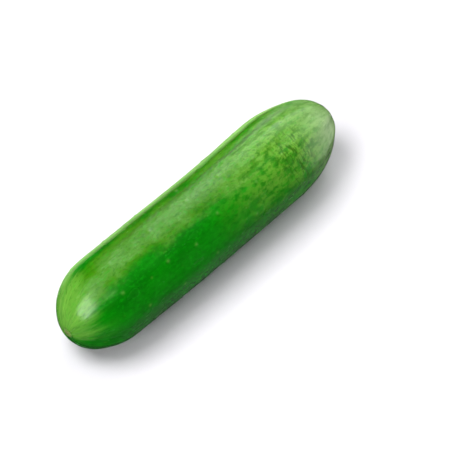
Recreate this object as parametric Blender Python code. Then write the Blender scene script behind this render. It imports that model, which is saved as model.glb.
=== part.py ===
"""A whole smooth-skinned cucumber, as picked, lying on its belly.

It is one solid, because the fruit grew as one piece. +Z is up and +X runs from the blossom end
to the stem end. The origin is under the middle of the fruit, on the surface that it lies on.
Run with: blender --background --python part.py
"""

import math
import random

import bmesh
import bpy
from mathutils import Vector

MM = 0.001

# The fruit, from the blossom tip to the shoulder round the stem
BODY_LENGTH = 152 * MM
MID_RADIUS = 19 * MM
TAPER = 0.042  # how much thicker the stem end is than the blossom end, as a share
WAIST_DEPTH = 0.013  # share of the radius lost at the waist
WAIST_PLACE = 0.57  # share of the length
WAIST_SPREAD = 0.14
BLOSSOM_CAP = 23.8 * MM  # length over which the blossom end rounds off
STEM_CAP = 35.8 * MM  # the stem end draws in more slowly
BOW = 1.0 * MM  # sideways bend, towards -Y at mid length
END_RISE = 0.8 * MM  # how far the belly lifts off at both ends
NOSE_LENGTH = 32 * MM  # the blossom end nods over this length
NOSE_DROP = 1.6 * MM
NOSE_LEAN = -0.7 * MM  # and leans to the side that the fruit bows to

# Ten low ribs, on a section that the three seed chambers make faintly three-sided
RIBS = 10
RIB_HEIGHT = 0.24 * MM
CHAMBERS = 3
CHAMBER_SWELL = 0.16 * MM
CHAMBER_TURN = math.radians(24)
BELLY_ANGLE = -math.pi / 2

# The flat that it rests on
FLAT_DEPTH = 0.35 * MM

# Blossom scar: a blunt tip with a ring groove and a low pitted button, as (radius, depth below
# the rounded end)
BLOSSOM_SCAR = (
    (0.0, 0.62 * MM),
    (0.5 * MM, 0.52 * MM),
    (0.9 * MM, 0.38 * MM),
    (1.5 * MM, 0.36 * MM),
    (2.0 * MM, 0.60 * MM),
    (2.6 * MM, 0.42 * MM),
    (3.4 * MM, 0.15 * MM),
    (4.3 * MM, 0.02 * MM),
)

# Stem end: a shallow dimple, as (radius, depth below the skin)
STEM_DIMPLE = (
    (6.2 * MM, 0.0),
    (5.2 * MM, 0.18 * MM),
    (4.3 * MM, 0.50 * MM),
    (3.5 * MM, 0.72 * MM),
)
# and in it the stub of the stalk, as (radius, height over the shoulder's tip)
STALK_STUB = (
    (2.8 * MM, -1.05 * MM),
    (2.25 * MM, -0.45 * MM),
    (2.05 * MM, 0.20 * MM),
    (1.85 * MM, 0.50 * MM),
    (1.4 * MM, 0.46 * MM),
    (0.7 * MM, 0.26 * MM),
    (0.0, 0.20 * MM),
)
STALK_SIDES = 5
STALK_SIDE_DEPTH = 0.045  # share of the stub's radius

# Spine bumps: low blisters along the ribs, left where the young fruit's spines fell off
BUMP_SEED = 11
BUMP_FIRST = 18 * MM
BUMP_LAST = 137 * MM
BUMP_STEP = 19 * MM
BUMP_STRAY = 6 * MM
BUMP_SIDE_STRAY = math.radians(9)
BUMP_REACH = 0.9 * MM  # from its middle to its four corners
BUMP_INSET = 0.3 * MM
BUMP_HEIGHT = 0.2 * MM
BELLY_CLEAR = math.radians(28)  # no bumps this near the flat

# Fineness of the surface
SEGMENTS_PER_RIB = 6
SEGMENTS = RIBS * SEGMENTS_PER_RIB
BLOSSOM_RINGS = 9
BODY_RINGS = 30
STEM_RINGS = 11

SKIN_COLOUR = (0.022, 0.165, 0.012, 1.0)
SKIN_ROUGHNESS = 0.3


def clear_scene():
    for obj in list(bpy.data.objects):
        bpy.data.objects.remove(obj, do_unlink=True)


def smooth_step(low, high, value):
    share = min(1.0, max(0.0, (value - low) / (high - low)))
    return share * share * (3 - 2 * share)


def trunk_radius(along):
    """Radius that the fruit would have at a place along it if its ends weren't rounded off."""
    share = along / BODY_LENGTH
    waist = WAIST_DEPTH * math.exp(-(((share - WAIST_PLACE) / WAIST_SPREAD) ** 2))
    return MID_RADIUS * (1 + TAPER * (share - 0.5) - waist)


def blossom_skin(radius):
    """Distance from the blossom tip at which the rounded end has this radius."""
    return BLOSSOM_CAP * (1 - math.sqrt(1 - (radius / trunk_radius(0)) ** 2))


def stem_skin(radius):
    """Place along the fruit at which the shoulder has this radius."""
    drop = 1 - math.sqrt(1 - (radius / trunk_radius(BODY_LENGTH)) ** 2)
    return BODY_LENGTH - STEM_CAP * drop


def meridian():
    """(along, radius) from the blossom tip, over the fruit and down the dimple, to the stub's cut."""
    points = [(blossom_skin(r) + depth, r) for r, depth in BLOSSOM_SCAR]
    first_turn = math.acos(1 - blossom_skin(BLOSSOM_SCAR[-1][0]) / BLOSSOM_CAP)
    for ring in range(1, BLOSSOM_RINGS + 1):
        turn = first_turn + (math.pi / 2 - first_turn) * ring / BLOSSOM_RINGS
        along = BLOSSOM_CAP * (1 - math.cos(turn))
        points.append((along, trunk_radius(along) * math.sin(turn)))
    trunk_length = BODY_LENGTH - BLOSSOM_CAP - STEM_CAP
    for ring in range(1, BODY_RINGS + 1):
        along = BLOSSOM_CAP + trunk_length * ring / BODY_RINGS
        points.append((along, trunk_radius(along)))
    dimple_edge = stem_skin(STEM_DIMPLE[0][0])
    last_turn = math.acos((dimple_edge - BODY_LENGTH + STEM_CAP) / STEM_CAP)
    for ring in range(1, STEM_RINGS):
        turn = math.pi / 2 + (last_turn - math.pi / 2) * ring / STEM_RINGS
        along = BODY_LENGTH - STEM_CAP + STEM_CAP * math.cos(turn)
        points.append((along, trunk_radius(along) * math.sin(turn)))
    points += [(stem_skin(r) - depth, r) for r, depth in STEM_DIMPLE]
    points += [(BODY_LENGTH + height, r) for r, height in STALK_STUB]
    return points


def section_shape(angle, along, radius):
    """Factor on the radius: the ribs and chambers on the fruit, or the five sides of the stub."""
    if along > BODY_LENGTH - STEM_CAP / 2 and radius < STEM_DIMPLE[-1][0]:
        return 1 + STALK_SIDE_DEPTH * math.cos(STALK_SIDES * angle)
    out_of_scar = smooth_step(2 * MM, 9 * MM, radius)
    rib = RIB_HEIGHT * math.cos(RIBS * (angle - BELLY_ANGLE))
    shoulder = smooth_step(0.55, 0.95, along / BODY_LENGTH)
    chamber = CHAMBER_SWELL * math.cos(CHAMBERS * (angle - CHAMBER_TURN))
    return 1 + out_of_scar * (rib * (0.6 + 0.9 * shoulder) + chamber) / MID_RADIUS


def centre_line(along):
    """Middle of the section: level along the belly, which lifts a little towards both ends."""
    from_middle = 2 * along / BODY_LENGTH - 1
    trunk = trunk_radius(min(along, BODY_LENGTH))
    belly = trunk * section_shape(BELLY_ANGLE, along, trunk)
    rise = END_RISE * abs(from_middle) ** 3
    nod = max(0.0, 1 - along / NOSE_LENGTH) ** 2
    side = NOSE_LEAN * nod - BOW * (1 - from_middle**2)
    return Vector((along, side, belly + rise - NOSE_DROP * nod - FLAT_DEPTH))


def turn_blank(mesh):
    """Spins the meridian once round the X axis, and closes it at both poles."""
    line = [mesh.verts.new((along, radius, 0)) for along, radius in meridian()]
    edges = [mesh.edges.new(pair) for pair in zip(line, line[1:])]
    bmesh.ops.spin(
        mesh,
        geom=line + edges,
        cent=(0, 0, 0),
        axis=(1, 0, 0),
        steps=SEGMENTS,
        angle=math.tau,
        use_merge=True,
    )
    bmesh.ops.remove_doubles(mesh, verts=mesh.verts, dist=0.005 * MM)


def bump_places():
    """(along, angle) of every spine bump: staggered along the ribs, clear of the belly."""
    draw = random.Random(BUMP_SEED)
    places = []
    for rib in range(RIBS):
        along = BUMP_FIRST + BUMP_STEP * draw.random()
        while along < BUMP_LAST:
            angle = BELLY_ANGLE + math.tau * rib / RIBS + BUMP_SIDE_STRAY * draw.uniform(-1, 1)
            from_belly = abs(math.remainder(angle - BELLY_ANGLE, math.tau))
            if from_belly > BELLY_CLEAR:
                places.append((along, angle))
            along += BUMP_STEP + BUMP_STRAY * draw.uniform(-1, 1)
    return places


def raise_bumps(mesh):
    """Cuts a small face round the corner of the blank nearest to each spine bump, and domes it."""
    corners = [v for v in mesh.verts if len(v.link_faces) == 4]
    chosen = []
    for along, angle in bump_places():
        radius = trunk_radius(along)
        place = Vector((along, radius * math.cos(angle), radius * math.sin(angle)))
        nearest = min(corners, key=lambda corner: (corner.co - place).length_squared)
        if not any(set(nearest.link_faces) & set(other.link_faces) for other in chosen):
            chosen.append(nearest)
    cut = bmesh.ops.bevel(
        mesh, geom=chosen, offset=BUMP_REACH, segments=1, profile=0.5, affect="VERTICES"
    )
    bumps = cut["faces"]
    bmesh.ops.inset_individual(
        mesh, faces=bumps, thickness=BUMP_INSET, depth=BUMP_HEIGHT * 0.65, use_even_offset=True
    )
    bmesh.ops.poke(mesh, faces=bumps, offset=BUMP_HEIGHT * 0.35)


def grow(mesh):
    """Gives the turned blank its ribs and chambers, its bend and its place over the surface."""
    for vert in mesh.verts:
        along, across, up = vert.co
        radius = math.hypot(across, up)
        angle = math.atan2(up, across)
        radius *= section_shape(angle, along, radius)
        outward = Vector((0, math.cos(angle), math.sin(angle)))
        vert.co = centre_line(along) + outward * radius


def flatten_belly(mesh):
    """Cuts the belly off level at z = 0 and closes it with one flat face."""
    geometry = list(mesh.verts) + list(mesh.edges) + list(mesh.faces)
    bmesh.ops.bisect_plane(
        mesh, geom=geometry, plane_co=(0, 0, 0), plane_no=(0, 0, 1), clear_inner=True
    )
    rim = [edge for edge in mesh.edges if edge.is_boundary]
    bmesh.ops.edgeloop_fill(mesh, edges=rim)


def centre_on_origin(mesh):
    """Moves the middle of the fruit's box over the origin."""
    for axis in (0, 1):
        places = [vert.co[axis] for vert in mesh.verts]
        middle = (min(places) + max(places)) / 2
        for vert in mesh.verts:
            vert.co[axis] -= middle


def skin_material():
    material = bpy.data.materials.new("cucumber_skin")
    material.use_nodes = True
    shader = material.node_tree.nodes["Principled BSDF"]
    shader.inputs["Base Color"].default_value = SKIN_COLOUR
    shader.inputs["Roughness"].default_value = SKIN_ROUGHNESS
    shader.inputs["Metallic"].default_value = 0.0
    material.diffuse_color = SKIN_COLOUR
    return material


def build_cucumber():
    mesh = bmesh.new()
    turn_blank(mesh)
    raise_bumps(mesh)
    grow(mesh)
    flatten_belly(mesh)
    centre_on_origin(mesh)
    bmesh.ops.recalc_face_normals(mesh, faces=mesh.faces)
    data = bpy.data.meshes.new("cucumber")
    mesh.to_mesh(data)
    mesh.free()
    data.shade_smooth()
    data.set_sharp_from_angle(angle=math.radians(35))
    data.materials.append(skin_material())
    obj = bpy.data.objects.new("cucumber", data)
    bpy.context.scene.collection.objects.link(obj)
    return obj


clear_scene()
build_cucumber()
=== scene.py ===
import bpy
import math
import random
from mathutils import Matrix, Vector, kdtree, noise


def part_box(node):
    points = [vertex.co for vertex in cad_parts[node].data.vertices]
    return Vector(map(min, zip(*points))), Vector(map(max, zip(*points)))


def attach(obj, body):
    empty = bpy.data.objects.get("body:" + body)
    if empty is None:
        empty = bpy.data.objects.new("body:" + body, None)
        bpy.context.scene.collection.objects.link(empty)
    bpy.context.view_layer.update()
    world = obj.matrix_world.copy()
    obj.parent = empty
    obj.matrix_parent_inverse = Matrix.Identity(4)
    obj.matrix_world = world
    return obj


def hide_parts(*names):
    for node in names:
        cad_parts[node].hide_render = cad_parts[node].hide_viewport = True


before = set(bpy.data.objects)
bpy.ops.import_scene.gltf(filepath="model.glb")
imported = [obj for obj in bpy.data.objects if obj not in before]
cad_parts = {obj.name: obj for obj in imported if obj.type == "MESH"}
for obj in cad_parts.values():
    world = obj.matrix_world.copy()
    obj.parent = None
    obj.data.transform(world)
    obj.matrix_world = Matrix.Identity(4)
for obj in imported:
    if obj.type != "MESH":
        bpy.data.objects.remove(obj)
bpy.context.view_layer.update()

mm = 0.001


# Adds a node to a tree of nodes; a socket among the values is linked, any other value is set
def addNode(tree, kind, settings=None, sockets=None):
    node = tree.nodes.new(kind)
    for key, value in (settings or {}).items():
        setattr(node, key, value)
    for key, value in (sockets or {}).items():
        if isinstance(value, bpy.types.NodeSocket):
            tree.links.new(value, node.inputs[key])
        else:
            node.inputs[key].default_value = value
    return node


def mixColour(tree, share, first, second):
    settings = {"data_type": "RGBA", "clamp_factor": True}
    node = addNode(tree, "ShaderNodeMix", settings, {0: share, 6: first, 7: second})
    return node.outputs[2]


# Goes smoothly from newLow to newHigh while the value goes from low to high
def spread(tree, value, low, high, newLow=0.0, newHigh=1.0):
    node = addNode(tree, "ShaderNodeMapRange", {"interpolation_type": "SMOOTHSTEP"}, {
        "Value": value, "From Min": low, "From Max": high, "To Min": newLow, "To Max": newHigh,
    })
    return node.outputs["Result"]


def combine(tree, operation, first, second):
    node = addNode(tree, "ShaderNodeMath", {"operation": operation}, {0: first, 1: second})
    return node.outputs[0]


def times(tree, value, *others):
    for other in others:
        value = combine(tree, "MULTIPLY", value, other)
    return value


# How far a place or a direction lies along a way
def reach(tree, place, way):
    node = addNode(tree, "ShaderNodeVectorMath", {"operation": "DOT_PRODUCT"}, {0: place, 1: way})
    return node.outputs["Value"]


# Camera, as the photograph looks at the fruit
camera = {
    "heading": 44.0,  # degrees from +X towards +Y
    "down": 54.8,
    "distance": 0.9,
    "aim": (5.7 * mm, -14.3 * mm, 14.9 * mm),
    "lens": 166.9,
    "sensor": 36,
    "nearest": 0.01,
}


def addCamera():
    heading, down = math.radians(camera["heading"]), math.radians(camera["down"])
    forward = Vector((
        math.cos(heading) * math.cos(down),
        math.sin(heading) * math.cos(down),
        -math.sin(down),
    ))
    bpy.ops.object.camera_add(location=Vector(camera["aim"]) - forward * camera["distance"])
    shot = bpy.context.active_object
    shot.name = "photoCamera"
    shot.rotation_euler = forward.to_track_quat("-Z", "Y").to_euler()
    shot.data.sensor_width = camera["sensor"]
    shot.data.lens = camera["lens"]
    shot.data.clip_start = camera["nearest"]
    shot.data.dof.use_dof = False
    bpy.context.scene.camera = shot


# Studio. Three lamps show in the skin's gloss: a large soft panel beyond the far end, a small
# window by the blossom end and a dim strip overhead. The other three only give light.
studio = {
    "roomColour": (0.88, 0.90, 0.95, 1),
    "roomStrength": 0.04,
    # parts of the room that show in the gloss, as (way, how near that way it starts and is full,
    # colour): a pale green one along the top edge, a pale one on the shoulder, and a faint one low
    # down, in place of the floor
    "glows": [
        ((0.40, 0.75, -0.53), 0.905, 0.97, (0.78, 1.25, 0.42, 1)),
        ((0.88, -0.44, -0.04), 0.80, 0.95, (1.40, 1.45, 1.30, 1)),
        ((0.41, -0.40, -0.82), 0.88, 1.0, (0.17, 0.16, 0.17, 1)),
    ],
    "floorColour": (0.70, 0.685, 0.72, 1),
    "floorRoughness": 0.9,
    "floorSize": 12.0,
}
# Each lamp's place, the way that its width runs and the way that its back faces, which is straight
# away from the fruit unless it is given. "across" and "up" give the light over its width and its
# height, as (share of the way, brightness).
lamps = {
    "softPanel": {
        "at": (0.603, 0.126, 0.4925),
        "side": (0.815, -0.283, -0.506),
        "back": (0.58, 0.40, 0.71),
        "size": (1.09, 1.104),
        "watts": 15.0,
        "across": [(0.0, 0.0), (0.12, 0.25), (0.22, 1.0), (0.32, 0.95), (0.50, 0.40), (1.0, 0.20)],
        "up": [(0.0, 0.0), (0.22, 0.03), (0.32, 0.28), (0.43, 0.62), (0.60, 0.78), (0.78, 1.0),
               (0.92, 0.85), (1.0, 0.30)],
    },
    "smallWindow": {
        "round": True,
        "at": (-0.630, 0.03, 0.477),
        "side": (0.0, 1.0, 0.0),
        "back": (-0.62, 0.04, 0.49),
        "size": (0.33, 0.62),
        "watts": 6.0,
        "across": [(0.0, 0.3), (0.28, 1.0), (0.48, 0.5), (0.68, 0.95), (1.0, 0.4)],
        "up": [(0.0, 0.1), (0.28, 1.0), (0.50, 0.7), (0.70, 1.0), (1.0, 0.1)],
        "lights": False,
    },
    "dimStrip": {
        "at": (-0.145, -0.22, 0.92),
        "side": (1.0, -0.30, 0.0),
        "size": (0.52, 0.28),
        "watts": 1.9,
        "colour": (1.0, 1.0, 0.6),
        "across": [(0.0, 0.0), (0.30, 0.55), (0.60, 1.0), (0.82, 0.7), (1.0, 0.0)],
        "up": [(0.0, 0.0), (0.5, 1.0), (1.0, 0.0)],
        "lights": False,
    },
    "keyLamp": {
        "at": (-0.36, 0.26, 1.02),
        "side": (1.0, 0.0, 0.0),
        "size": (0.6, 0.6),
        "watts": 11.0,
        "shows": False,
    },
    "overhead": {
        "at": (0.0, 0.0, 1.8),
        "side": (1.0, 0.0, 0.0),
        "size": (2.5, 2.5),
        "watts": 19.0,
        "shows": False,
    },
    "nearFill": {
        "at": (-0.80, -0.20, 0.50),
        "side": (0.0, 1.0, 0.0),
        "size": (0.4, 0.4),
        "watts": 4.5,
        "shows": False,
    },
}


def addLamp(name, lamp):
    bpy.ops.object.light_add(type="AREA", location=lamp["at"])
    light = bpy.context.active_object
    light.name = name
    side = Vector(lamp["side"]).normalized()
    back = Vector(lamp.get("back", lamp["at"])).normalized()
    side = (side - back * side.dot(back)).normalized()
    light.rotation_euler = Matrix((side, back.cross(side), back)).transposed().to_euler()
    light.data.shape = "ELLIPSE" if lamp.get("round") else "RECTANGLE"
    light.data.size, light.data.size_y = lamp["size"]
    light.data.energy = lamp["watts"]
    light.data.color = lamp.get("colour", (1.0, 1.0, 1.0))
    light.visible_camera = False
    light.visible_glossy = lamp.get("shows", True)
    light.visible_diffuse = lamp.get("lights", True)
    if "across" in lamp:
        shadeLamp(light, lamp)


# Makes the light change across the lamp's face
def shadeLamp(light, lamp):
    light.data.use_nodes = True
    tree = light.data.node_tree
    face = addNode(tree, "ShaderNodeNewGeometry")
    split = addNode(tree, "ShaderNodeSeparateXYZ", None, {0: face.outputs["Parametric"]})
    brightness = []
    for way, stops in zip(split.outputs, (lamp["across"], lamp["up"])):
        ramp = addNode(tree, "ShaderNodeValToRGB", None, {0: way})
        ramp.color_ramp.interpolation = "EASE"
        knobs = ramp.color_ramp.elements
        knobs[0].position, knobs[1].position = stops[0][0], stops[-1][0]
        for place, _ in stops[1:-1]:
            knobs.new(place)
        for knob, (_, bright) in zip(knobs, stops):
            knob.color = (bright, bright, bright, 1)
        brightness.append(ramp.outputs["Color"])
    tree.links.new(times(tree, *brightness), tree.nodes["Emission"].inputs["Strength"])


# The room round the studio: even and dim, with a few brighter parts
def addRoom():
    world = bpy.data.worlds.new("dimRoom")
    bpy.context.scene.world = world
    world.use_nodes = True
    tree = world.node_tree
    outward = addNode(tree, "ShaderNodeTexCoord").outputs["Generated"]
    light = [studio["roomStrength"] * part for part in studio["roomColour"]]
    for way, starts, full, colour in studio["glows"]:
        near = reach(tree, outward, Vector(way).normalized())
        light = mixColour(tree, spread(tree, near, starts, full), light, colour)
    tree.links.new(light, tree.nodes["Background"].inputs["Color"])


def addStudio():
    addRoom()
    for name, lamp in lamps.items():
        addLamp(name, lamp)
    bpy.ops.mesh.primitive_plane_add(size=studio["floorSize"], location=(0, 0, 0))
    floor = bpy.context.active_object
    floor.name = "paleFloor"
    paint = bpy.data.materials.new("paleFloorPaint")
    paint.use_nodes = True
    shader = paint.node_tree.nodes["Principled BSDF"]
    shader.inputs["Base Color"].default_value = studio["floorColour"]
    shader.inputs["Roughness"].default_value = studio["floorRoughness"]
    shader.inputs["Specular IOR Level"].default_value = 0.0
    floor.data.materials.append(paint)
    floor.visible_glossy = False  # the skin's gloss shows the room, and stays deep near the floor
    bpy.context.scene.view_settings.view_transform = "Standard"


print("camera and studio")
addCamera()
addStudio()


# The fruit's form by the same rules as the solid: a straight blank along +X, from the blossom tip
# to the shoulder at the stalk, which is then ribbed, bent and set down on its belly
fruit = {
    "length": 152 * mm,
    "midRadius": 19 * mm,
    "taper": 0.042,  # share of the radius gained from the blossom end to the stem end
    "waistDepth": 0.013,
    "waistPlace": 0.57,
    "waistSpread": 0.14,
    "blossomCap": 23.8 * mm,
    "stemCap": 35.8 * mm,
    "bow": 1.0 * mm,
    "endRise": 0.8 * mm,
    "noseLength": 32 * mm,
    "noseDrop": 1.6 * mm,
    "noseLean": -0.7 * mm,
    "flatDepth": 0.35 * mm,
    "bellyAngle": -math.pi / 2,
    "ribs": 10,
    "ribHeight": 0.24 * mm,
    "ribTrunk": 0.6,  # share of that height on the trunk, and what the stem shoulder adds
    "ribShoulder": 0.9,
    "shoulder": (0.55, 0.95),  # shares of the length
    "chambers": 3,
    "chamberSwell": 0.16 * mm,
    "chamberTurn": math.radians(24),
    "clearRadius": (2 * mm, 9 * mm),  # towards its axis, at both ends, the fruit is plainly round
    # the blossom scar and the stem dimple, as (radius, depth under the rounded end)
    "scar": [
        (0.5 * mm, 0.52 * mm),
        (0.9 * mm, 0.38 * mm),
        (1.5 * mm, 0.36 * mm),
        (2.0 * mm, 0.60 * mm),
        (2.6 * mm, 0.42 * mm),
        (3.4 * mm, 0.15 * mm),
        (4.3 * mm, 0.02 * mm),
    ],
    "dimple": [
        (6.2 * mm, 0.0),
        (5.2 * mm, 0.18 * mm),
        (4.3 * mm, 0.50 * mm),
        (3.5 * mm, 0.80 * mm),
        (2.4 * mm, 1.05 * mm),
        (1.2 * mm, 1.10 * mm),
    ],
    "sides": 72,  # of the rough loft, before it is subdivided
    "blossomRings": 11,
    "bodyRings": 42,
    "stemRings": 14,
    "subdivisions": 2,
}


def smoothStep(low, high, value):
    share = min(1.0, max(0.0, (value - low) / (high - low)))
    return share * share * (3 - 2 * share)


def trunkRadius(along):
    share = along / fruit["length"]
    waist = fruit["waistDepth"] * math.exp(
        -(((share - fruit["waistPlace"]) / fruit["waistSpread"]) ** 2)
    )
    return fruit["midRadius"] * (1 + fruit["taper"] * (share - 0.5) - waist)


def blossomSkin(radius):
    return fruit["blossomCap"] * (1 - math.sqrt(1 - (radius / trunkRadius(0)) ** 2))


def stemSkin(radius):
    drop = 1 - math.sqrt(1 - (radius / trunkRadius(fruit["length"])) ** 2)
    return fruit["length"] - fruit["stemCap"] * drop


# (along, radius) of every ring of the loft, from the scar to the bottom of the dimple
def fruitRings():
    length, near, far = fruit["length"], fruit["blossomCap"], fruit["stemCap"]
    rings = [(blossomSkin(radius) + depth, radius) for radius, depth in fruit["scar"]]
    firstTurn = math.acos(1 - blossomSkin(fruit["scar"][-1][0]) / near)
    for ring in range(1, fruit["blossomRings"] + 1):
        turn = firstTurn + (math.pi / 2 - firstTurn) * ring / fruit["blossomRings"]
        along = near * (1 - math.cos(turn))
        rings.append((along, trunkRadius(along) * math.sin(turn)))
    for ring in range(1, fruit["bodyRings"] + 1):
        along = near + (length - near - far) * ring / fruit["bodyRings"]
        rings.append((along, trunkRadius(along)))
    lastTurn = math.acos((stemSkin(fruit["dimple"][0][0]) - length + far) / far)
    for ring in range(1, fruit["stemRings"]):
        turn = math.pi / 2 + (lastTurn - math.pi / 2) * ring / fruit["stemRings"]
        along = length - far + far * math.cos(turn)
        rings.append((along, trunkRadius(along) * math.sin(turn)))
    rings += [(stemSkin(radius) - depth, radius) for radius, depth in fruit["dimple"]]
    return rings


# The radius of a section at an angle, over that of a plain circle
def sectionShape(angle, along, radius):
    clear = smoothStep(*fruit["clearRadius"], radius)
    shoulder = smoothStep(*fruit["shoulder"], along / fruit["length"])
    rib = fruit["ribHeight"] * math.cos(fruit["ribs"] * (angle - fruit["bellyAngle"]))
    rib *= fruit["ribTrunk"] + fruit["ribShoulder"] * shoulder
    chamber = fruit["chamberSwell"] * math.cos(
        fruit["chambers"] * (angle - fruit["chamberTurn"])
    )
    return 1 + clear * (rib + chamber) / fruit["midRadius"]


def centreLine(along):
    fromMiddle = 2 * along / fruit["length"] - 1
    trunk = trunkRadius(min(along, fruit["length"]))
    belly = trunk * sectionShape(fruit["bellyAngle"], along, trunk)
    rise = fruit["endRise"] * abs(fromMiddle) ** 3
    nod = max(0.0, 1 - along / fruit["noseLength"]) ** 2
    side = fruit["noseLean"] * nod - fruit["bow"] * (1 - fromMiddle**2)
    return Vector((along, side, belly + rise - fruit["noseDrop"] * nod - fruit["flatDepth"]))


# Extrudes a circle from ring to ring along +X, closes both of its ends and rounds it
def loft(name, rings, sides, subdivisions):
    bpy.ops.object.select_all(action="DESELECT")
    along, radius = rings[0]
    bpy.ops.mesh.primitive_circle_add(
        vertices=sides, radius=radius, location=(along, 0, 0), rotation=(0, math.pi / 2, 0)
    )
    piece = bpy.context.active_object
    piece.name = piece.data.name = name
    bpy.ops.object.transform_apply(location=True, rotation=True, scale=True)
    bpy.ops.object.mode_set(mode="EDIT")
    bpy.ops.mesh.select_all(action="SELECT")
    for nextAlong, nextRadius in rings[1:]:
        bpy.ops.mesh.extrude_region_move(
            TRANSFORM_OT_translate={"value": (nextAlong - along, 0, 0)}
        )
        grow = nextRadius / radius
        bpy.ops.transform.resize(value=(1, grow, grow), center_override=(nextAlong, 0, 0))
        along, radius = nextAlong, nextRadius
    bpy.ops.mesh.edge_face_add()
    bpy.ops.mesh.poke()
    bpy.ops.mesh.select_all(action="DESELECT")
    bpy.ops.mesh.select_non_manifold()  # only the first ring is still open
    bpy.ops.mesh.edge_face_add()
    bpy.ops.mesh.poke()
    bpy.ops.mesh.select_all(action="SELECT")
    bpy.ops.mesh.normals_make_consistent(inside=False)
    bpy.ops.object.mode_set(mode="OBJECT")
    rounding = piece.modifiers.new("rounding", "SUBSURF")
    rounding.levels = rounding.render_levels = subdivisions
    bpy.ops.object.modifier_apply(modifier=rounding.name)
    bpy.ops.object.shade_smooth()
    return piece


# Two vectors on every point, for the materials: its place on the straight blank, with the same
# girth all along, and (spine bump or stalk bundle, cork or cut face, 0), each from 0 to 1
def addLayers(mesh):
    place = mesh.attributes.new("skinPlace", "FLOAT_VECTOR", "POINT")
    marks = mesh.attributes.new("skinMarks", "FLOAT_VECTOR", "POINT")
    return place.data, marks.data


# What the growing skin adds to the form
skin = {
    "swell": 0.08 * mm,  # slow unevenness
    "swellLength": 24 * mm,
    "dent": 0.060 * mm,
    "dentLength": 8 * mm,
    "pucker": 0.032 * mm,  # small unevenness, mostly of the stem half
    "puckerLength": 2.6 * mm,
    "puckerBlossom": 0.6,  # its share in the blossom half, and what the stem half adds
    "puckerStem": 0.4,
    "stemHalf": (0.45, 0.75),  # shares of the length
    "ripple": 0.016 * mm,  # faint lengthwise ripples
    "rippleLength": 14 * mm,
    "rippleWidth": 1.9 * mm,
    "clearRadius": (3 * mm, 9 * mm),  # nearer to the axis, the skin is plain
    "corkRadius": (1.2 * mm, 2.4 * mm),
    "bumpSeed": 11,
    "bumpFirst": 18 * mm,
    "bumpLast": 137 * mm,
    "bumpStep": 19 * mm,
    "bumpStray": 6 * mm,
    "bumpSideStray": math.radians(9),
    "bumpReach": 0.62 * mm,
    "bumpHeight": 0.19 * mm,
    "bellyClear": math.radians(28),
}


def bumpPlaces():
    draw = random.Random(skin["bumpSeed"])
    places = []
    for rib in range(fruit["ribs"]):
        along = skin["bumpFirst"] + skin["bumpStep"] * draw.random()
        while along < skin["bumpLast"]:
            angle = fruit["bellyAngle"] + math.tau * rib / fruit["ribs"]
            angle += skin["bumpSideStray"] * draw.uniform(-1, 1)
            if abs(math.remainder(angle - fruit["bellyAngle"], math.tau)) > skin["bellyClear"]:
                radius = fruit["midRadius"]
                places.append((along, radius * math.cos(angle), radius * math.sin(angle)))
            along += skin["bumpStep"] + skin["bumpStray"] * draw.uniform(-1, 1)
    return places


def growSkin(piece):
    mesh = piece.data
    placeLayer, marksLayer = addLayers(mesh)
    places = bumpPlaces()
    bumps = kdtree.KDTree(len(places))
    for number, place in enumerate(places):
        bumps.insert(place, number)
    bumps.balance()
    girth = fruit["midRadius"]
    for number, point in enumerate(mesh.vertices):
        along, across, up = point.co
        radius, angle = math.hypot(across, up), math.atan2(up, across)
        outward = Vector((0, math.cos(angle), math.sin(angle)))
        place = Vector((along, 0, 0)) + outward * girth
        swell = skin["swell"] * noise.noise(place / skin["swellLength"])
        swell += skin["dent"] * noise.noise(place / skin["dentLength"])
        share = skin["puckerStem"] * smoothStep(*skin["stemHalf"], along / fruit["length"])
        share += skin["puckerBlossom"]
        swell += share * skin["pucker"] * noise.noise(place / skin["puckerLength"])
        sideways = outward.yz * girth / skin["rippleWidth"]
        swell += skin["ripple"] * noise.noise(Vector((along / skin["rippleLength"], *sideways)))
        _, _, gap = bumps.find(place)
        bump = math.exp(-((gap / skin["bumpReach"]) ** 2))
        grown = radius * sectionShape(angle, along, radius)
        grown += smoothStep(*skin["clearRadius"], radius) * swell + skin["bumpHeight"] * bump
        point.co = centreLine(along) + outward * grown
        point.co.z = max(point.co.z, 0)
        placeLayer[number].vector = place
        marksLayer[number].vector = (bump, 1 - smoothStep(*skin["corkRadius"], radius), 0)


# The stub of the stalk, as (radius, height over the shoulder's tip)
stalk = {
    "rings": [
        (2.50 * mm, -1.90 * mm),
        (2.80 * mm, -1.20 * mm),
        (2.55 * mm, -0.85 * mm),
        (2.28 * mm, -0.45 * mm),
        (2.12 * mm, -0.10 * mm),
        (2.04 * mm, 0.20 * mm),
        (1.98 * mm, 0.38 * mm),
        (1.84 * mm, 0.49 * mm),
        (1.60 * mm, 0.50 * mm),
        (1.40 * mm, 0.44 * mm),
        (1.05 * mm, 0.33 * mm),
        (0.70 * mm, 0.26 * mm),
        (0.35 * mm, 0.22 * mm),
    ],
    "sides": 40,
    "subdivisions": 2,
    "corners": 5,
    "cornerDepth": 0.045,  # share of its radius
    "cutRim": (0.30 * mm, 0.44 * mm),  # heights between which the side turns into the cut face
    "cutRadius": 1.5 * mm,
    "bundleRing": 1.35 * mm,
    "bundles": 10,
    "bundleReach": 0.16 * mm,
    "bundleHeight": 0.07 * mm,
    "roughness": 0.05 * mm,
    "roughLength": 0.35 * mm,
    "sideRoughness": 0.6,  # share of that on the cut face
}


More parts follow.
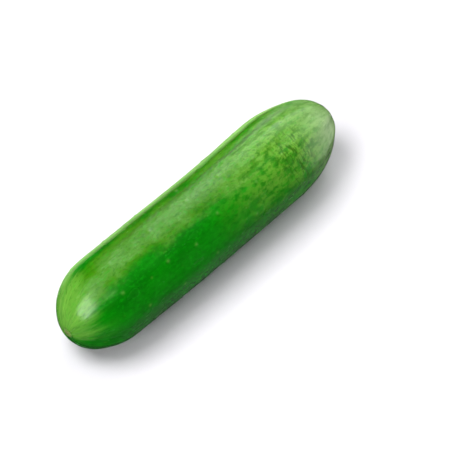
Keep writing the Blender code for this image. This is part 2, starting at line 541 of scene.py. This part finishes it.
def growStalk(piece):
    mesh = piece.data
    placeLayer, marksLayer = addLayers(mesh)
    for number, point in enumerate(mesh.vertices):
        along, across, up = point.co
        radius, angle = math.hypot(across, up), math.atan2(up, across)
        height = along - fruit["length"]
        outward = Vector((0, math.cos(angle), math.sin(angle)))
        cut = smoothStep(*stalk["cutRim"], height) if radius > stalk["cutRadius"] else 1.0
        if height <= 0:
            cut = 0.0
        turn = math.remainder(angle, math.tau / stalk["bundles"]) * radius
        toBundle = math.hypot(turn, radius - stalk["bundleRing"]) / stalk["bundleReach"]
        bundle = cut * math.exp(-(toBundle**2))
        rough = stalk["roughness"] * noise.noise(point.co / stalk["roughLength"])
        grown = radius * (1 + stalk["cornerDepth"] * math.cos(stalk["corners"] * angle))
        grown += (1 - cut) * rough * stalk["sideRoughness"]
        along += cut * (rough + bundle * stalk["bundleHeight"])
        placeLayer[number].vector = Vector((along, 0, 0)) + outward * radius
        marksLayer[number].vector = (bundle, cut, 0)
        point.co = centreLine(along) + outward * grown


# Colours, linear
greens = {
    "deep": (0.0002, 0.110, 0.0002, 1),
    "leaf": (0.0010, 0.175, 0.0005, 1),
    "back": (0.048, 0.180, 0.0025, 1),  # painted light: yellower along the top, where the light falls
    "olive": (0.130, 0.335, 0.027, 1),
    "tip": (0.112, 0.308, 0.032, 1),
    "streak": (0.215, 0.440, 0.060, 1),
    "fleck": (0.004, 0.285, 0.003, 1),
    "speck": (0.220, 0.440, 0.090, 1),
    # partly real bloom, partly a painted pale reflection on the shoulder
    "bloomAndSheen": (0.280, 0.450, 0.175, 1),
    # partly a wax haze, partly a painted reflection of the band of gloss along the top
    "waxHazeAndSheen": (0.150, 0.360, 0.080, 1),
    # painted shade: the dark gaps between reflections beside the top
    "line": (0.036, 0.118, 0.003, 1),
    "shade": (0.026, 0.095, 0.001, 1),
}
corks = {
    "cork": (0.210, 0.260, 0.070, 1),
    "darkCork": (0.085, 0.120, 0.020, 1),
    "stalkGreen": (0.090, 0.210, 0.045, 1),
    "stalkPale": (0.240, 0.330, 0.120, 1),
    "bundle": (0.400, 0.360, 0.180, 1),
}

# How often each pattern changes in a metre: along the fruit, and twice across it
fineness = {
    "broad": (22, 60, 60),
    "bands": (18, 330, 330),
    "threads": (70, 1100, 1100),
    "patches": (70, 130, 130),
    "mottle": (260, 420, 420),
    "grain": (560, 860, 860),
    "breaks": (60, 500, 500),
    "creases": (850, 230, 230),
    "fineSpecks": (700, 900, 900),
    "largeSpecks": (150, 170, 170),
    "stalkFibres": (500, 2600, 2600),
    "stalkGrain": (2600, 2600, 2600),
}


# Starts a node group that takes a place and its fineness, with the one multiplied by the other
def startGroup(name, numbers, gives):
    tree = bpy.data.node_groups.new(name, "ShaderNodeTree")
    for socket in ("Place", "Fineness"):
        tree.interface.new_socket(name=socket, in_out="INPUT", socket_type="NodeSocketVector")
    for socket in numbers:
        tree.interface.new_socket(name=socket, in_out="INPUT", socket_type="NodeSocketFloat")
    tree.interface.new_socket(name=gives, in_out="OUTPUT", socket_type="NodeSocketFloat")
    taken = tree.nodes.new("NodeGroupInput").outputs
    place = addNode(tree, "ShaderNodeVectorMath", {"operation": "MULTIPLY"},
                    {0: taken["Place"], 1: taken["Fineness"]})
    return tree, taken, place.outputs[0], tree.nodes.new("NodeGroupOutput").inputs[gives]


# Noise drawn out along the fruit
def buildStreaks():
    tree, _, place, given = startGroup("lengthwiseStreaks", (), "Streak")
    drawn = addNode(tree, "ShaderNodeTexNoise", None, {
        "Vector": place, "Scale": 1.0, "Detail": 3.0, "Roughness": 0.55,
    })
    tree.links.new(drawn.outputs["Fac"], given)
    return tree


# Small round specks in some of the cells of a Voronoi pattern
def buildSpecks():
    tree, taken, place, given = startGroup("paleSpecks", ("Reach", "Share"), "Speck")
    cells = addNode(tree, "ShaderNodeTexVoronoi", None, {"Vector": place, "Scale": 1.0})
    dot = spread(tree, cells.outputs["Distance"], 0.0, taken["Reach"], 1.0, 0.0)
    lot = addNode(tree, "ShaderNodeSeparateColor", None, {"Color": cells.outputs["Color"]})
    chosen = combine(tree, "LESS_THAN", lot.outputs[0], taken["Share"])
    tree.links.new(times(tree, dot, chosen), given)
    return tree


# Places a group in a material, with the fineness of a pattern and the group's other numbers
def useGroup(tree, group, place, pattern, **numbers):
    sockets = {"Place": place, "Fineness": fineness[pattern], **numbers}
    return addNode(tree, "ShaderNodeGroup", {"node_tree": group}, sockets).outputs[0]


def startMaterial(name):
    material = bpy.data.materials.new(name)
    material.use_nodes = True
    tree = material.node_tree
    place = addNode(tree, "ShaderNodeAttribute", {"attribute_name": "skinPlace"})
    marks = addNode(tree, "ShaderNodeAttribute", {"attribute_name": "skinMarks"})
    parts = addNode(tree, "ShaderNodeSeparateXYZ", None, {0: marks.outputs["Vector"]})
    return material, tree, place.outputs["Vector"], parts.outputs


# The finish is a material's colour and roughness, and the height of its fine relief
def applyFinish(tree, colour, roughness, height, strength, depth):
    bump = addNode(tree, "ShaderNodeBump", None,
                   {"Strength": strength, "Distance": depth, "Height": height})
    shader = tree.nodes["Principled BSDF"]
    tree.links.new(colour, shader.inputs["Base Color"])
    tree.links.new(roughness, shader.inputs["Roughness"])
    tree.links.new(bump.outputs["Normal"], shader.inputs["Normal"])
    return shader


# Where the skin's layers of colour lie. A group of numbers says between which values a layer comes
# in, and then how strong it is at both, if not 0 and 1. Places along the fruit count from the
# blossom tip, and angles turn round it from +Y over its top.
layers = {
    "leaf": (0.36, 0.64),
    "raggedness": 0.35,
    # painted light: the yellower top of the fruit
    "paintedTopLightAngle": math.radians(84),
    "back": (0.84, 0.95, 0.0, 0.9),
    "oliveAlong": (66 * mm, 122 * mm),
    "oliveAngle": math.radians(113),
    "oliveSideAndPaintedShade": (0.50, 0.95, 0.22, 1.0),
    # the olive stops short of the underside, leaving painted shade there
    "oliveMottle": (0.38, 0.58, 0.25, 1.0),
    # where the two lines of painted shade lie
    "lineAngles": (math.radians(53), math.radians(68)),
    "lineWaver": 0.08,
    "lineWidth": (0.02, 0.075, 1.0, 0.0),
    "lineSide": (0.5, 0.8),
    "lineStart": (26 * mm, 45 * mm),
    "lineEnd": (143 * mm, 126 * mm),
    "lineBreaks": (0.40, 0.56, 0.50, 0.95),
    "creases": (0.50, 0.60),
    "creaseStart": (106 * mm, 117 * mm),
    "creaseEnd": (133 * mm, 124 * mm),
    "creaseAngle": math.radians(133),
    "creaseSide": (0.70, 0.95),
    "creaseStrength": 0.85,
    "hazeMottle": 0.4,
    "waxHazeAndSheen": (0.60, 0.88, 0.0, 0.30),
    "hazeAngle": math.radians(92),
    "hazeSide": (0.89, 0.98),
    "darkThreads": (0.52, 0.75, 0.0, 0.40),
    "paleThreads": (0.48, 0.25, 0.0, 0.30),
    "tipBands": -17 * mm,  # how much further the tip's colour runs in the bands, and on one side
    "tipLean": -10 * mm,
    "tipAngle": math.radians(60),
    "tip": (-8.5 * mm, 0.5 * mm, 0.95, 0.0),
    "tipPatches": (0.58, 0.42, 0.70, 1.0),
    "streaks": (0.46, 0.70),
    "streakAlong": (4 * mm, 19 * mm, 0.40, 0.0),
    "streakAngle": math.radians(75),
    "streakSide": (0.3, 0.9, 0.2, 1.0),
    "darkGrain": (0.50, 0.72, 0.0, 0.55),
    "paleGrain": (0.50, 0.30, 0.0, 0.40),
    "bloomAlong": (118 * mm, 146 * mm),
    "bloomMottle": (0.3, 0.6, 0.6, 1.0),
    "bloomAngle": math.radians(150),
    "bloomSide": (0.45, 1.0, 0.45, 1.0),
    "fineSpecks": {"Reach": 0.42, "Share": 0.42},
    "fineStrength": 0.10,
    "largeSpecks": {"Reach": 0.17, "Share": 0.75},
    "largeStrength": 0.20,
    "bumpStrength": 0.25,
    "cork": (0.4, 0.6),
}
wax = {
    "roughness": (0.35, 0.65, 0.17, 0.28),  # smoother and rougher smears
    "corkRoughness": 0.45,
    "mottleHeight": 2.4,
    "grainHeight": 1.7,
    "reliefDepth": 0.05 * mm,
    "coat": 0.18,
    "coatRoughness": 0.14,
    "ior": 1.36,
}


def greenSkin(streaks, specks):
    material, tree, place, (bump, cork, _) = startMaterial("greenSkin")
    along = addNode(tree, "ShaderNodeSeparateXYZ", None, {0: place}).outputs[0]

    def pattern(name):
        return useGroup(tree, streaks, place, name)

    def layer(value, name):
        return spread(tree, value, *layers[name])

    # how far a place is on the side of the fruit that faces an angle, from -1 to 1
    def facing(angle):
        girth = fruit["midRadius"]
        return reach(tree, place, (0, math.cos(angle) / girth, math.sin(angle) / girth))

    def fromMiddle(value, amount):
        return times(tree, combine(tree, "SUBTRACT", value, 0.5), amount)

    def plus(first, second):
        return combine(tree, "ADD", first, second)

    bands, threads, patches = pattern("bands"), pattern("threads"), pattern("patches")
    mottle, grain = pattern("mottle"), pattern("grain")
    colour = mixColour(tree, layer(pattern("broad"), "leaf"), greens["deep"], greens["leaf"])
    # painted light: yellower along the top, where the light falls on it
    ragged = fromMiddle(patches, layers["raggedness"])
    back = layer(plus(facing(layers["paintedTopLightAngle"]), ragged), "back")
    colour = mixColour(tree, back, colour, greens["back"])
    # the stem half is more olive and more mottled; the olive is kept off the underside, which
    # stays deep green as painted shade
    olive = times(
        tree,
        layer(along, "oliveAlong"),
        layer(plus(facing(layers["oliveAngle"]), ragged), "oliveSideAndPaintedShade"),
        layer(mottle, "oliveMottle"),
    )
    colour = mixColour(tree, olive, colour, greens["olive"])
    # painted shade: two broken dark lines beside the top, where the gloss leaves dark gaps between
    # the reflections
    broken = times(
        tree,
        layer(along, "lineStart"),
        layer(along, "lineEnd"),
        layer(pattern("breaks"), "lineBreaks"),
    )
    for angle in layers["lineAngles"]:
        off = plus(facing(angle + math.pi / 2), fromMiddle(mottle, layers["lineWaver"]))
        line = layer(combine(tree, "ABSOLUTE", off, 0.0), "lineWidth")
        line = times(tree, line, layer(facing(angle), "lineSide"), broken)
        colour = mixColour(tree, line, colour, greens["line"])
    # fine creases across the skin, where the trunk turns into the shoulder, darkened with painted
    # shade
    crease = times(
        tree,
        layer(pattern("creases"), "creases"),
        layer(along, "creaseStart"),
        layer(along, "creaseEnd"),
        layer(facing(layers["creaseAngle"]), "creaseSide"),
    )
    paintedCreaseShade = times(tree, crease, layers["creaseStrength"])
    colour = mixColour(tree, paintedCreaseShade, colour, greens["shade"])
    # a haze of wax in soft patches on the upper side, in the colour of the band of gloss along the
    # top: partly wax, partly painted reflection
    waxHazeAndSheen = layer(plus(patches, times(tree, mottle, layers["hazeMottle"])), "waxHazeAndSheen")
    waxHazeAndSheen = times(tree, waxHazeAndSheen, layer(facing(layers["hazeAngle"]), "hazeSide"))
    colour = mixColour(tree, waxHazeAndSheen, colour, greens["waxHazeAndSheen"])
    colour = mixColour(tree, layer(threads, "darkThreads"), colour, greens["deep"])
    colour = mixColour(tree, layer(threads, "paleThreads"), colour, greens["fleck"])
    # yellow-green blossom end, running out in streaks
    edge = plus(along, times(tree, bands, layers["tipBands"]))
    edge = plus(edge, times(tree, facing(layers["tipAngle"]), layers["tipLean"]))
    tip = times(tree, layer(edge, "tip"), layer(patches, "tipPatches"))
    colour = mixColour(tree, tip, colour, greens["tip"])
    streak = times(
        tree,
        layer(bands, "streaks"),
        layer(along, "streakAlong"),
        layer(facing(layers["streakAngle"]), "streakSide"),
    )
    colour = mixColour(tree, streak, colour, greens["streak"])
    # fine grain all over
    colour = mixColour(tree, layer(grain, "darkGrain"), colour, greens["deep"])
    colour = mixColour(tree, layer(grain, "paleGrain"), colour, greens["fleck"])
    # dull bloom on the shoulder round the stalk, partly a painted pale reflection over the
    # stem-end dome
    bloomAndSheen = times(
        tree,
        layer(along, "bloomAlong"),
        layer(mottle, "bloomMottle"),
        layer(facing(layers["bloomAngle"]), "bloomSide"),
    )
    colour = mixColour(tree, bloomAndSheen, colour, greens["bloomAndSheen"])
    # specks, spine bumps and the corky scar
    fine = useGroup(tree, specks, place, "fineSpecks", **layers["fineSpecks"])
    large = useGroup(tree, specks, place, "largeSpecks", **layers["largeSpecks"])
    colour = mixColour(tree, times(tree, fine, layers["fineStrength"]), colour, greens["fleck"])
    colour = mixColour(tree, times(tree, large, layers["largeStrength"]), colour, greens["streak"])
    colour = mixColour(tree, times(tree, bump, layers["bumpStrength"]), colour, greens["speck"])
    corkTone = mixColour(tree, layer(mottle, "cork"), corks["darkCork"], corks["cork"])
    colour = mixColour(tree, cork, colour, corkTone)

    rough = spread(tree, patches, *wax["roughness"])
    rough = plus(rough, times(tree, cork, wax["corkRoughness"]))
    height = plus(times(tree, mottle, wax["mottleHeight"]), times(tree, grain, wax["grainHeight"]))
    height = combine(tree, "SUBTRACT", height, crease)
    shader = applyFinish(tree, colour, rough, height, 1.0, wax["reliefDepth"])
    shader.inputs["Coat Weight"].default_value = wax["coat"]
    shader.inputs["Coat Roughness"].default_value = wax["coatRoughness"]
    shader.inputs["IOR"].default_value = wax["ior"]
    return material


stalkFinish = {
    "side": (0.35, 0.70),  # where the fibres turn from the darker colour to the paler one
    "face": (0.35, 0.65),
    "grain": {"Reach": 0.6, "Share": 0.5},
    "grainStrength": 0.5,
    "grainHeight": -0.5,
    "roughness": (0.3, 0.7, 0.55, 0.8),
    "reliefStrength": 0.6,
    "reliefDepth": 0.08 * mm,
}


def corkyStalk(streaks, specks):
    material, tree, place, (bundle, cut, _) = startMaterial("corkyStalk")
    fibres = useGroup(tree, streaks, place, "stalkFibres")
    grain = useGroup(tree, specks, place, "stalkGrain", **stalkFinish["grain"])
    paler = spread(tree, fibres, *stalkFinish["side"])
    side = mixColour(tree, paler, corks["stalkGreen"], corks["stalkPale"])
    paler = spread(tree, fibres, *stalkFinish["face"])
    face = mixColour(tree, paler, corks["cork"], corks["stalkPale"])
    darker = times(tree, grain, stalkFinish["grainStrength"])
    face = mixColour(tree, darker, face, corks["darkCork"])
    face = mixColour(tree, bundle, face, corks["bundle"])
    colour = mixColour(tree, cut, side, face)
    rough = spread(tree, fibres, *stalkFinish["roughness"])
    height = combine(tree, "ADD", fibres, times(tree, grain, stalkFinish["grainHeight"]))
    applyFinish(tree, colour, rough, height, stalkFinish["reliefStrength"],
                stalkFinish["reliefDepth"])
    return material


def finishPiece(piece, material):
    piece.data.materials.clear()
    piece.data.materials.append(material)
    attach(piece, "root")
    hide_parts("cucumber")


print("lofting the fruit")
cucumberSkin = loft("cucumberSkin", fruitRings(), fruit["sides"], fruit["subdivisions"])
print("growing its skin:", len(cucumberSkin.data.polygons), "faces")
growSkin(cucumberSkin)

print("stalk stub")
stalkRings = [(fruit["length"] + height, radius) for radius, height in stalk["rings"]]
stalkStub = loft("stalkStub", stalkRings, stalk["sides"], stalk["subdivisions"])
growStalk(stalkStub)

# Both pieces move together, so that the fruit fills the solid's box
print("setting both in the solid's box")
low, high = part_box("cucumber")
points = [point.co for point in cucumberSkin.data.vertices]
slide = Vector((
    low[0] - min(point.x for point in points),
    (low[1] + high[1] - min(point.y for point in points) - max(point.y for point in points)) / 2,
    0,
))
for piece in (cucumberSkin, stalkStub):
    piece.data.transform(Matrix.Translation(slide))

print("materials")
streaks, specks = buildStreaks(), buildSpecks()
finishPiece(cucumberSkin, greenSkin(streaks, specks))
finishPiece(stalkStub, corkyStalk(streaks, specks))
